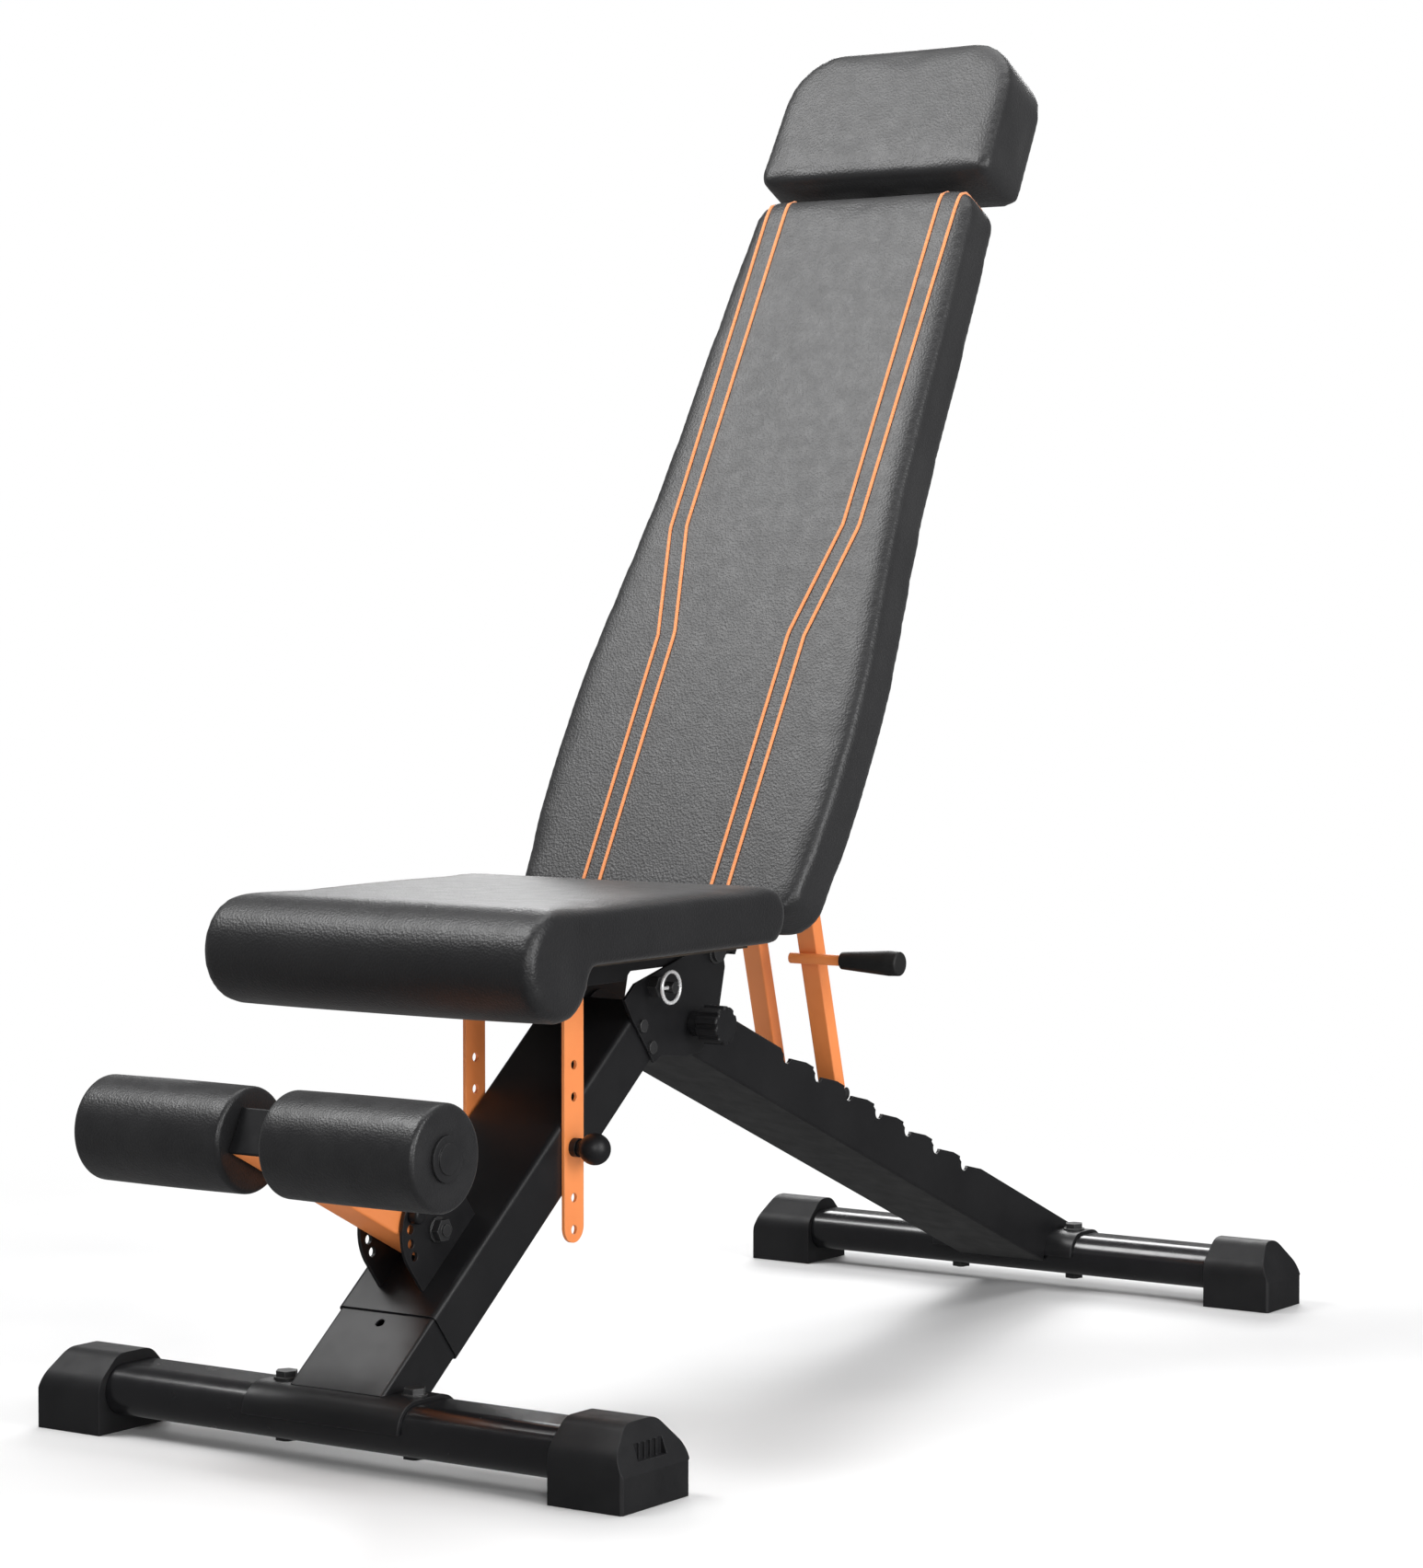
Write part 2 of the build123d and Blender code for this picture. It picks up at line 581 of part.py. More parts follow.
with BuildPart() as seat_screws:
    for x in (-62, 62):
        for y in (-300, -160):
            with BuildSketch(Plane.XY.offset(SEAT_BOTTOM - RAIL_PLATE)):
                with Locations((x, y)):
                    RegularPolygon(6.5, 6, major_radius=False)
            extrude(amount=-5)
save(seat_screws.part, "seat_screws")

# ---------------------------------------------------------------- seat lock bars
BAR_X = LEG_W / 2 + PLAY
for side, sign in sides():
    plane, thick = layer(SIDE, sign, BAR_X, BAR_T)
    with BuildPart() as bar:
        with BuildSketch(plane):
            with Locations((BAR_Y, (BAR_TOP + BAR_BOTTOM + BAR_W / 2) / 2)):
                SlotCenterToCenter(BAR_TOP - BAR_BOTTOM - BAR_W / 2, BAR_W, rotation=90)
            circle_hole((BAR_Y, BAR_TOP), 5)
            for rise in BAR_HOLES:
                circle_hole((BAR_Y, BAR_PIN_Z + rise), BAR_HOLE / 2 + RUN)
        extrude(amount=thick)
    save(bar.part, "seat_bar_" + side)

with BuildPart() as bar_shaft:
    rod_at((BAR_Y, BAR_TOP), 5, -BAR_X - BAR_T, BAR_X + BAR_T)
    for sign in (-1, 1):
        rod_at((BAR_Y, BAR_TOP), 8, sign * (BAR_X + BAR_T), sign * (BAR_X + BAR_T + 3))
save(bar_shaft.part, "seat_bar_shaft")

KNOB = (BAR_Y, BAR_PIN_Z)
BUSH_END = BAR_X + BAR_T + 6
with BuildPart() as bushing:
    rod_at(KNOB, 8, BAR_X + BAR_T, BUSH_END)
    rod_at(KNOB, PIN_R + RUN, BAR_X, BUSH_END + 1, mode=Mode.SUBTRACT)
save(bushing.part, "seat_lock_bushing")

BALL_R = 13.5
with BuildPart() as ball_knob:
    rod_at(KNOB, PIN_R, LEG_W / 2 + 0.4, BUSH_END + 6)
    rod_at(KNOB, 6.5, BUSH_END + 0.3, BUSH_END + 4)
    with Locations((BUSH_END + 2 + BALL_R, *KNOB)):
        Sphere(BALL_R)
save(ball_knob.part, "seat_lock_knob")

# ---------------------------------------------------------------- backrest frame
RAIL_TOP = 690.0
RAIL_FRONT, RAIL_BACK = -BACK_T, -BACK_T - RAIL_DEEP
HINGE_LOCAL = in_frame(BACK, HINGE)
foot, face = HINGE_LOCAL
RAIL_START = -30.0
for side, sign in sides():
    tube_plane, tube_w = layer(BACK, sign, RAIL_IN, RAIL_OUT - RAIL_IN)
    inner_plane, inner_w = layer(BACK, sign, RAIL_IN + 2, RAIL_OUT - RAIL_IN - 4)
    ear_plane, ear_w = layer(BACK, sign, RAIL_OUT, 3)
    mid = ((RAIL_START + RAIL_TOP) / 2, (RAIL_FRONT + RAIL_BACK) / 2)
    with BuildPart() as back_rail:
        with BuildSketch(tube_plane):
            with Locations(mid):
                Rectangle(RAIL_TOP - RAIL_START, RAIL_DEEP)
        extrude(amount=tube_w)
        long_edges = back_rail.edges().filter_by(lambda e: e.length > 300)
        fillet(long_edges, 2)
        with BuildSketch(inner_plane):
            with Locations(mid):
                Rectangle(RAIL_TOP - RAIL_START + 20, RAIL_DEEP - 4)
        extrude(amount=inner_w, mode=Mode.SUBTRACT)
        # hinge plate at the foot, and the ear that carries the prop
        with BuildSketch(ear_plane):
            with BuildLine():
                Polyline((foot - 12, face - 6), (foot - 12, face + 6), (foot - 5, face + 12),
                         (foot + 6, face + 12), (foot + 11, face + 6), (BACK_LOW - 2, RAIL_FRONT - 1),
                         (40, RAIL_FRONT - 1), (70, RAIL_BACK + 12), (70, RAIL_BACK),
                         (-20, RAIL_BACK), close=True)
            make_face()
            circle_hole(HINGE_LOCAL, BOLT_D / 2 + RUN)
        extrude(amount=ear_w)
        with BuildSketch(ear_plane):
            with BuildLine():
                Polyline((PROP_PIVOT_S - 45, RAIL_BACK), (PROP_PIVOT_S - 45, RAIL_BACK + 14),
                         (PROP_PIVOT_S + 45, RAIL_BACK + 14), (PROP_PIVOT_S + 45, RAIL_BACK),
                         (PROP_PIVOT_S + 14, PROP_PIVOT_OFF - 8), (PROP_PIVOT_S, PROP_PIVOT_OFF - 13),
                         (PROP_PIVOT_S - 14, PROP_PIVOT_OFF - 8), close=True)
            make_face()
            circle_hole((PROP_PIVOT_S, PROP_PIVOT_OFF), BOLT_D / 2)
        extrude(amount=ear_w)
    save(back_rail.part, "backrest_rail_" + side)

with BuildPart() as cross_plates:
    for s in (120, 560):
        with BuildSketch(BACK):
            with Locations((s, RAIL_FRONT - 1.5)):
                Rectangle(50, 3)
        extrude(amount=RAIL_IN, both=True)
save(cross_plates.part, "backrest_cross_plates")

with BuildPart() as prop_bolt:
    cross_bolt(PROP_PIVOT, RAIL_OUT + 3, BOLT_D, head=7.0)
save(prop_bolt.part, "prop_pivot_bolt")


def half_outline(grow):
    """Right half of the back pad's outline: narrow top, waist, wide hips, rounded foot."""
    top, foot = BACK_HIGH + grow, BACK_LOW - grow
    shoulder = Line((0, top), (98 + grow, top))
    corner = RadiusArc((98 + grow, top), (125 + grow, top - 28), 28)
    flank = Spline((125 + grow, top - 28), (134 + grow, 545), (140 + grow, 400), (154 + grow, 265),
                   (161 + grow, 180), (161 + grow, 95), (154 + grow, 5),
                   tangents=((0.05, -1), (-0.1, -1)))
    hip = RadiusArc((154 + grow, 5), (120 + grow, foot), 36)
    base = Line((120 + grow, foot), (0, foot))
    return shoulder, corner, flank, hip, base


def pad_outline(grow=0.0):
    with BuildLine() as outline:
        half_outline(grow)
        mirror(about=Plane.YZ)
    make_face(outline.edges())


with BuildPart() as back_board:
    with BuildSketch(FACE.offset(-BACK_T)):
        pad_outline(-18)
    extrude(amount=BOARD)
save(back_board.part, "back_board")

with BuildPart() as back_cushion:
    with BuildSketch(FACE):
        pad_outline()
    extrude(amount=-BACK_T)
    front_face = back_cushion.faces().filter_by(GeomType.PLANE).sort_by_distance(FACE.origin)[0]
    fillet(front_face.edges(), 9)
    with BuildSketch(FACE.offset(-BACK_T)):
        pad_outline(-18)
    extrude(amount=BOARD, mode=Mode.SUBTRACT)
save(back_cushion.part, "back_cushion")

with BuildPart() as back_screws:
    for s in (60, 230, 420, 620):
        for x in (-32, 32):
            with Locations(BACK * Location((s, RAIL_BACK - 1.5, x), (90, 0, 0))):
                Cylinder(6.5, 3)
save(back_screws.part, "back_screws")

# ---------------------------------------------------------------- head pad
POST_IN, POST_W = RAIL_IN + 2.1, RAIL_OUT - RAIL_IN - 4.2
POST_LOW, POST_HIGH, POST_STEP = 560.0, 850.0, 728.0
POST_BACK = RAIL_BACK + 2.2
with BuildPart() as head_posts:
    for side, sign in sides():
        plane, width = layer(BACK, sign, POST_IN, POST_W)
        with BuildSketch(plane):
            with BuildLine():
                Polyline((POST_LOW, POST_BACK), (POST_LOW, RAIL_FRONT - 2.2), (POST_STEP, RAIL_FRONT - 2.2),
                         (POST_STEP, HEAD_BACK - 3), (POST_HIGH, HEAD_BACK - 3), (POST_HIGH, POST_BACK),
                         close=True)
            make_face()
        extrude(amount=width)
    with BuildSketch(BACK):
        with Locations((POST_HIGH - 35, HEAD_BACK - 1.5)):
            Rectangle(70, 3)
    extrude(amount=85, both=True)
save(head_posts.part, "head_post_frame")


def head_outline(inset=0.0):
    half = HEAD_HALF - inset
    low, high = HEAD_LOW + inset, HEAD_HIGH - inset
    with BuildLine() as outline:
        Line((0, low), (half - 14, low))
        RadiusArc((half - 14, low), (half, low + 14), -14)
        Line((half, low + 14), (half - 3, high - 62))
        RadiusArc((half - 3, high - 62), (half - 62, high), -60)
        Line((half - 62, high), (0, high))
        mirror(about=Plane.YZ)
    make_face(outline.edges())


with BuildPart() as head_board:
    with BuildSketch(FACE.offset(HEAD_BACK)):
        head_outline(14)
    extrude(amount=BOARD)
save(head_board.part, "head_board")

with BuildPart() as head_cushion:
    with BuildSketch(FACE.offset(HEAD_FRONT)):
        head_outline()
    extrude(amount=-HEAD_T)
    caps = head_cushion.faces().filter_by(GeomType.PLANE)
    caps = caps.filter_by(lambda f: f.area > 20000)
    fillet(caps.edges(), 9)
    with BuildSketch(FACE.offset(HEAD_BACK)):
        head_outline(14)
    extrude(amount=BOARD, mode=Mode.SUBTRACT)
save(head_cushion.part, "head_cushion")

# ---------------------------------------------------------------- backrest prop
for side, sign in sides():
    plane, width = layer(PROP, sign, PROP_X - PROP_W / 2, PROP_W)
    inner, hollow = layer(PROP, sign, PROP_X - PROP_W / 2 + 2, PROP_W - 4)
    with BuildPart() as prop_tube:
        with BuildSketch(plane):
            with Locations((PROP_LENGTH / 2, 0)):
                Rectangle(PROP_LENGTH + 18, PROP_T)
        extrude(amount=width)
        fillet(prop_tube.edges().filter_by(lambda e: e.length > 200), 1.5)
        with BuildSketch(inner):
            with Locations((PROP_LENGTH / 2, 0)):
                Rectangle(PROP_LENGTH + 40, PROP_T - 4)
        extrude(amount=hollow, mode=Mode.SUBTRACT)
        rod_at(PROP_PIVOT, BOLT_D / 2 + RUN, -60, 60, mode=Mode.SUBTRACT)
        rod_at(ROD, ROD_D / 2, -60, 60, mode=Mode.SUBTRACT)
    save(prop_tube.part, "prop_tube_" + side)

HANDLE_R = 5.0
HANDLE = in_side(PROP, (PROP_LENGTH - HANDLE_UP, -PROP_T / 2 - HANDLE_R))
with BuildPart() as prop_rod:
    rod_at(ROD, ROD_D / 2, -LEG_W / 2 + 4.0, LEG_W / 2 - 4.0)
save(prop_rod.part, "prop_cross_rod")

GRIP_START, GRIP_END = 72.0, 134.0
with BuildPart() as handle_rod:
    rod_at(HANDLE, HANDLE_R, PROP_X - PROP_W / 2 - 6, GRIP_END - 6)
save(handle_rod.part, "prop_handle_rod")

with BuildPart() as grip:
    with BuildSketch(SIDE.offset(GRIP_START)):
        with Locations(HANDLE):
            Circle(8)
    with BuildSketch(SIDE.offset(GRIP_END - 12)):
        with Locations(HANDLE):
            Circle(11.5)
    with BuildSketch(SIDE.offset(GRIP_END)):
        with Locations(HANDLE):
            Circle(11)
    loft(ruled=True)
    fillet(grip.faces().sort_by(Axis.X)[-1].edges(), 2)
    rod_at(HANDLE, HANDLE_R, 0, GRIP_END - 6, mode=Mode.SUBTRACT)
save(grip.part, "prop_handle_grip")
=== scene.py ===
"""Looks of the decline sit-up bench: camera, light, materials, cushions and foam rollers.

Metres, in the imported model's frame. The frame's nodes keep their shape and get materials here.
The three cushions and two rollers are modelled here and stand for their plain CAD solids.
"""
import json
from math import cos, pi, radians, sin

import bmesh
import bpy
import numpy as np
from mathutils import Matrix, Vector
from mathutils.bvhtree import BVHTree


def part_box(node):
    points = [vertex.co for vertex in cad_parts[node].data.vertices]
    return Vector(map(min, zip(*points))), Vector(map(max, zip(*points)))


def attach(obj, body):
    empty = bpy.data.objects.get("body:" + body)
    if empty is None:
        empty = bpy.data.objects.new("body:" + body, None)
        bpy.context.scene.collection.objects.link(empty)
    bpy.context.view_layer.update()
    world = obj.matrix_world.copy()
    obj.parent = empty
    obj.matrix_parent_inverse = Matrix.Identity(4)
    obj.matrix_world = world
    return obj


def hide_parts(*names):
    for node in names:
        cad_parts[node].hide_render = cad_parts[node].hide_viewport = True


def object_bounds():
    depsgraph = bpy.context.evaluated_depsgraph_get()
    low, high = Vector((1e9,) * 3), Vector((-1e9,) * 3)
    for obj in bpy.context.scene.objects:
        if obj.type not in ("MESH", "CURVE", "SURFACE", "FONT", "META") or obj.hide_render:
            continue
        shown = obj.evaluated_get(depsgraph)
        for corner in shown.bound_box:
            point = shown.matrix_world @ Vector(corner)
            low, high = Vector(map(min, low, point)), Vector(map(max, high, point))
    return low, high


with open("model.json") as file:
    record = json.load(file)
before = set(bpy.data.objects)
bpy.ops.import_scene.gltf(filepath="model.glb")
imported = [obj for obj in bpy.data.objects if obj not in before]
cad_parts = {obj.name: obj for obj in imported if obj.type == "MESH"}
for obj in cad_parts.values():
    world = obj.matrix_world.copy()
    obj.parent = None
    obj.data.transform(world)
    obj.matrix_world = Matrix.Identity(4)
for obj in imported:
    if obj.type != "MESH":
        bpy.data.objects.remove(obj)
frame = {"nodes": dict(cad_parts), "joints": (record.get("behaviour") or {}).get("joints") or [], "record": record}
cad_low, cad_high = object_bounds()
scene = bpy.context.scene
JOINTS = {joint["name"]: joint for joint in frame["joints"]}
MM = 0.001


# ---------------------------------------------------------------- camera, light and floor
EYE = Vector((2.0829, -3.0164, 0.6859))
AZIMUTH, DROP = radians(34.339), radians(2.511)
AIM = Vector((-sin(AZIMUTH) * cos(DROP), cos(AZIMUTH) * cos(DROP), -sin(DROP)))
LENS, SENSOR = 94.31, 36.0      # mm

camera_data = bpy.data.cameras.new("camera")
camera_data.lens = LENS
camera_data.sensor_width = SENSOR
camera_data.clip_start, camera_data.clip_end = 0.05, 60.0
camera = bpy.data.objects.new("camera", camera_data)
camera.location = EYE
camera.rotation_mode = "QUATERNION"
camera.rotation_quaternion = AIM.to_track_quat("-Z", "Y")
scene.collection.objects.link(camera)
scene.camera = camera
scene.view_settings.view_transform = "Standard"


def softbox(name, place, target, size, power):
    """A rectangular lamp at place, facing target."""
    data = bpy.data.lights.new(name, "AREA")
    data.shape = "RECTANGLE"
    data.size, data.size_y = size
    data.energy = power
    light = bpy.data.objects.new(name, data)
    light.location = place
    light.rotation_mode = "QUATERNION"
    light.rotation_quaternion = (Vector(target) - Vector(place)).to_track_quat("-Z", "Y")
    scene.collection.objects.link(light)


MIDDLE = (0, 0, 0.5)
softbox("key", (-1.7, -1.35, 3.4), (0, 0.15, 0.85), (1.6, 1.4), 90)
softbox("fill", (3.4, -0.5, 1.4), MIDDLE, (1.4, 2.2), 82)
softbox("front", (2.3, -3.0, 1.5), MIDDLE, (1.2, 1.2), 44)
softbox("top", (0.2, 0.5, 3.4), MIDDLE, (2.6, 2.6), 55)
softbox("rim", (-1.6, 3.0, 2.2), MIDDLE, (2.2, 1.4), 65)

SEEN, CAST = 1.0, 0.13     # how bright the studio's walls look, and how much light they give


def studio():
    """White walls that look bright behind the object and light it only a little."""
    world = bpy.data.worlds.new("studio")
    world.use_nodes = True
    tree = world.node_tree
    background = tree.nodes["Background"]
    background.inputs["Color"].default_value = (1, 1, 1, 1)
    rays = tree.nodes.new("ShaderNodeLightPath")
    level = tree.nodes.new("ShaderNodeMapRange")
    level.inputs["To Min"].default_value, level.inputs["To Max"].default_value = CAST, SEEN
    tree.links.new(rays.outputs["Is Camera Ray"], level.inputs["Value"])
    tree.links.new(level.outputs["Result"], background.inputs["Strength"])
    return world


scene.world = studio()


# ---------------------------------------------------------------- materials
class Shader:
    """A Principled material with short calls for its nodes."""

    def __init__(self, name, **values):
        self.material = bpy.data.materials.new(name)
        self.material.use_nodes = True
        self.tree = self.material.node_tree
        self.bsdf = self.tree.nodes["Principled BSDF"]
        self.coordinates = self.tree.nodes.new("ShaderNodeTexCoord").outputs["Object"]
        for socket, value in values.items():
            self.bsdf.inputs[socket.replace("_", " ")].default_value = value

    def node(self, kind, **values):
        made = self.tree.nodes.new("ShaderNode" + kind)
        for socket, value in values.items():
            made.inputs[socket.replace("_", " ")].default_value = value
        return made

    def link(self, out, into):
        self.tree.links.new(out, into)

    def noise(self, scale, detail=3.0, roughness=0.55):
        made = self.node("TexNoise", Scale=scale, Detail=detail, Roughness=roughness)
        self.link(self.coordinates, made.inputs["Vector"])
        return made.outputs["Fac"]

    def cells(self, scale, smooth=0.35):
        made = self.node("TexVoronoi", Scale=scale, Randomness=1.0)
        made.feature = "SMOOTH_F1"
        made.inputs["Smoothness"].default_value = smooth
        self.link(self.coordinates, made.inputs["Vector"])
        return made.outputs["Distance"]

    def ramp(self, factor, low, high, start=0.3, end=0.7):
        made = self.tree.nodes.new("ShaderNodeValToRGB")
        made.color_ramp.elements[0].position, made.color_ramp.elements[1].position = start, end
        made.color_ramp.elements[0].color = (*low, 1)
        made.color_ramp.elements[1].color = (*high, 1)
        self.link(factor, made.inputs["Fac"])
        return made.outputs["Color"]

    def spread(self, factor, low, high):
        made = self.tree.nodes.new("ShaderNodeMapRange")
        made.inputs["From Min"].default_value, made.inputs["From Max"].default_value = 0.3, 0.7
        made.inputs["To Min"].default_value, made.inputs["To Max"].default_value = low, high
        self.link(factor, made.inputs["Value"])
        return made.outputs["Result"]

    def bump(self, height, depth, strength=1.0, over=None):
        made = self.node("Bump", Strength=strength, Distance=depth)
        self.link(height, made.inputs["Height"])
        if over is not None:
            self.link(over, made.inputs["Normal"])
        return made.outputs["Normal"]

    def soft_edges(self, radius):
        made = self.node("Bevel", Radius=radius)
        made.samples = 4
        return made.outputs["Normal"]

    def edge_wear_and_highlight(self, colour, edge_colour, radius):
        """The colour, turning to edge_colour along sharp edges: edge wear and a painted edge highlight."""
        # the lighter edge colour stands for edge wear and is also a painted edge highlight
        geometry = self.tree.nodes.new("ShaderNodeNewGeometry")
        dot = self.tree.nodes.new("ShaderNodeVectorMath")
        dot.operation = "DOT_PRODUCT"
        self.link(self.soft_edges(radius), dot.inputs[0])
        self.link(geometry.outputs["Normal"], dot.inputs[1])
        mask = self.tree.nodes.new("ShaderNodeMapRange")
        mask.inputs["From Min"].default_value, mask.inputs["From Max"].default_value = 0.97, 0.8
        self.link(dot.outputs["Value"], mask.inputs["Value"])
        mix = self.tree.nodes.new("ShaderNodeMix")
        mix.data_type = "RGBA"
        self.link(mask.outputs["Result"], mix.inputs["Factor"])
        self.link(colour, mix.inputs["A"])
        mix.inputs["B"].default_value = (*edge_colour, 1)
        return mix.outputs["Result"]

    def finish(self, colour, roughness, normal):
        self.link(colour, self.bsdf.inputs["Base Color"])
        self.link(roughness, self.bsdf.inputs["Roughness"])
        self.link(normal, self.bsdf.inputs["Normal"])
        return self.material


PEBBLES_PER_M, PEBBLE_DEPTH = 470.0, 0.00030
PAINT_EDGE, METAL_EDGE, PLASTIC_EDGE = 0.0010, 0.0006, 0.0012      # radii of softened edges, metres


def leather(name, low, high, shine=(0.40, 0.45)):
    """Pebbled synthetic leather: fine cells, faint creases, uneven sheen."""
    s = Shader(name, Specular_IOR_Level=0.5, Sheen_Weight=0.12, Sheen_Roughness=0.4)
    colour = s.ramp(s.noise(9.0, 4.0), low, high)
    creases = s.bump(s.noise(26.0, 4.0, 0.5), 0.0005, 0.35)
    pebbles = s.bump(s.cells(PEBBLES_PER_M), PEBBLE_DEPTH, 0.75, creases)
    fine = s.bump(s.noise(2600.0, 2.0), 0.00004, 0.5, pebbles)
    return s.finish(colour, s.spread(s.noise(70.0), *shine), fine)


def paint(name, low, high, edge, shine, coat=0.0):
    """Powder coat or paint on steel: orange peel, slightly lighter edges that are edge wear and a painted edge
    highlight.
    """
    s = Shader(name, Specular_IOR_Level=0.5, Coat_Weight=coat, Coat_Roughness=0.12)
    tone = s.ramp(s.noise(14.0, 4.0), low, high)
    # sharp edges turn to the lighter edge colour: edge wear and a painted edge highlight
    colour = s.edge_wear_and_highlight(tone, edge, PAINT_EDGE)
    flakes = s.bump(s.noise(1300.0, 2.0), 0.00006, 0.6, s.soft_edges(PAINT_EDGE))
    return s.finish(colour, s.spread(s.noise(45.0, 5.0), *shine), flakes)


def metal(name, low, high, shine, grain=(1, 1, 1), metallic=1.0):
    """Bare or plated metal with faint brushing."""
    s = Shader(name, Metallic=metallic)
    colour = s.ramp(s.noise(60.0, 4.0), low, high)
    stretch = s.tree.nodes.new("ShaderNodeMapping")
    stretch.inputs["Scale"].default_value = grain
    s.link(s.coordinates, stretch.inputs["Vector"])
    brush = s.node("TexNoise", Scale=900.0, Detail=2.0)
    s.link(stretch.outputs["Vector"], brush.inputs["Vector"])
    normal = s.bump(brush.outputs["Fac"], 0.00003, 0.5, s.soft_edges(METAL_EDGE))
    return s.finish(colour, s.spread(s.noise(120.0), *shine), normal)


def plastic(name, low, high, shine):
    """Moulded plastic with a fine spark-eroded texture."""
    s = Shader(name, Specular_IOR_Level=0.35)
    # pale colours the sharp edges: edge wear and a painted edge highlight
    pale = tuple(1.6 * c for c in high)
    colour = s.edge_wear_and_highlight(s.ramp(s.noise(20.0, 4.0), low, high), pale, PLASTIC_EDGE)
    normal = s.bump(s.noise(1500.0, 3.0), 0.00010, 0.6, s.soft_edges(PLASTIC_EDGE))
    return s.finish(colour, s.spread(s.noise(60.0), *shine), normal)


def foam(name):
    """Closed-cell roller foam under a thin grained skin."""
    s = Shader(name, Specular_IOR_Level=0.45, Sheen_Weight=0.08, Sheen_Roughness=0.5)
    colour = s.ramp(s.noise(30.0, 4.0), (0.008, 0.008, 0.009), (0.013, 0.013, 0.014))
    creases = s.bump(s.noise(60.0, 4.0), 0.0006, 0.3)
    pores = s.bump(s.cells(560.0), 0.00024, 0.7, creases)
    return s.finish(colour, s.spread(s.noise(90.0), 0.34, 0.46), pores)


def plywood(name):
    """Dark-stained plywood board with a stretched grain."""
    s = Shader(name, Specular_IOR_Level=0.3)
    stretch = s.tree.nodes.new("ShaderNodeMapping")
    stretch.inputs["Scale"].default_value = (18.0, 1.6, 1.6)
    s.link(s.coordinates, stretch.inputs["Vector"])
    rings = s.node("TexNoise", Scale=9.0, Detail=6.0, Distortion=1.2)
    s.link(stretch.outputs["Vector"], rings.inputs["Vector"])
    colour = s.ramp(rings.outputs["Fac"], (0.030, 0.024, 0.019), (0.072, 0.056, 0.042))
    grain = s.bump(rings.outputs["Fac"], 0.0003, 0.5)
    return s.finish(colour, s.spread(s.noise(50.0), 0.6, 0.8), grain)


def woven(name, low, high):
    """Thread-wrapped piping cord."""
    s = Shader(name, Sheen_Weight=0.3, Specular_IOR_Level=0.3)
    colour = s.ramp(s.noise(500.0, 2.0), low, high)
    thread = s.bump(s.cells(2200.0, 0.2), 0.0002, 0.8)
    return s.finish(colour, s.spread(s.noise(300.0), 0.5, 0.7), thread)


FLOOR_NEAR, FLOOR_FAR = 0.6, 1.7     # the floor turns into the white studio between these radii


def floor_finish(name):
    """Matt white floor round the object that becomes even, bright white further out."""
    s = Shader(name, Specular_IOR_Level=0.25)
    colour = s.ramp(s.noise(0.7, 2.0), (0.84, 0.84, 0.845), (0.88, 0.88, 0.88))
    s.finish(colour, s.spread(s.noise(3.0), 0.35, 0.45), s.bump(s.noise(300.0), 0.00003, 0.3))
    glow = s.node("Emission", Strength=1.0)
    reach = s.tree.nodes.new("ShaderNodeVectorMath")
    reach.operation = "LENGTH"
    s.link(s.coordinates, reach.inputs[0])
    share = s.tree.nodes.new("ShaderNodeMapRange")
    share.interpolation_type = "SMOOTHSTEP"
    share.inputs["From Min"].default_value = FLOOR_NEAR
    share.inputs["From Max"].default_value = FLOOR_FAR
    s.link(reach.outputs["Value"], share.inputs["Value"])
    blend = s.tree.nodes.new("ShaderNodeMixShader")
    s.link(share.outputs["Result"], blend.inputs["Fac"])
    s.link(s.bsdf.outputs["BSDF"], blend.inputs[1])
    s.link(glow.outputs["Emission"], blend.inputs[2])
    s.link(blend.outputs["Shader"], s.tree.nodes["Material Output"].inputs["Surface"])
    return s.material


# GREY_EDGE, PALE_ORANGE and the bolts' 0.11 grey light the sharp edges: edge wear and a painted edge highlight
BLACK, SOOT, GREY_EDGE = (0.007, 0.007, 0.008), (0.011, 0.011, 0.012), (0.045, 0.045, 0.047)
ORANGE, DEEP_ORANGE, PALE_ORANGE = (0.91, 0.29, 0.085), (0.84, 0.25, 0.070), (0.95, 0.42, 0.17)
FINISHES = {
    "frame_black": paint("powder_black", BLACK, SOOT, GREY_EDGE, shine=(0.34, 0.44)),
    "base_black": paint("gloss_black", (0.006, 0.006, 0.007), (0.010, 0.010, 0.011), GREY_EDGE,
                        shine=(0.20, 0.28), coat=0.35),
    "accent_orange": paint("powder_orange", DEEP_ORANGE, ORANGE, PALE_ORANGE, shine=(0.40, 0.46)),
    "bolt_steel": paint("blackened_bolts", (0.016, 0.016, 0.017), (0.030, 0.030, 0.031),
                        (0.11, 0.11, 0.11), shine=(0.30, 0.42)),
    # the pull ring is half metallic over a near-white base: its diffuse white is a painted reflection of a bright
    # studio on chrome
    "ring_chrome": metal("chrome", (0.86, 0.86, 0.87), (0.94, 0.94, 0.94), (0.22, 0.32), metallic=0.45),
    "rod_steel": metal("zinc_rod", (0.16, 0.16, 0.165), (0.24, 0.24, 0.245), (0.28, 0.38), (8, 1, 1)),
    "foot_black": plastic("moulded_feet", (0.008, 0.008, 0.009), (0.013, 0.013, 0.014), (0.44, 0.56)),
    "knob_black": plastic("moulded_knobs", (0.007, 0.007, 0.008), (0.012, 0.012, 0.013), (0.36, 0.48)),
    "grip_black": plastic("rubber_grip", (0.011, 0.011, 0.011), (0.018, 0.018, 0.018), (0.50, 0.62)),
    "plug_black": plastic("roller_plugs", (0.012, 0.012, 0.013), (0.019, 0.019, 0.020), (0.34, 0.46)),
    "board": plywood("stained_plywood"),
}
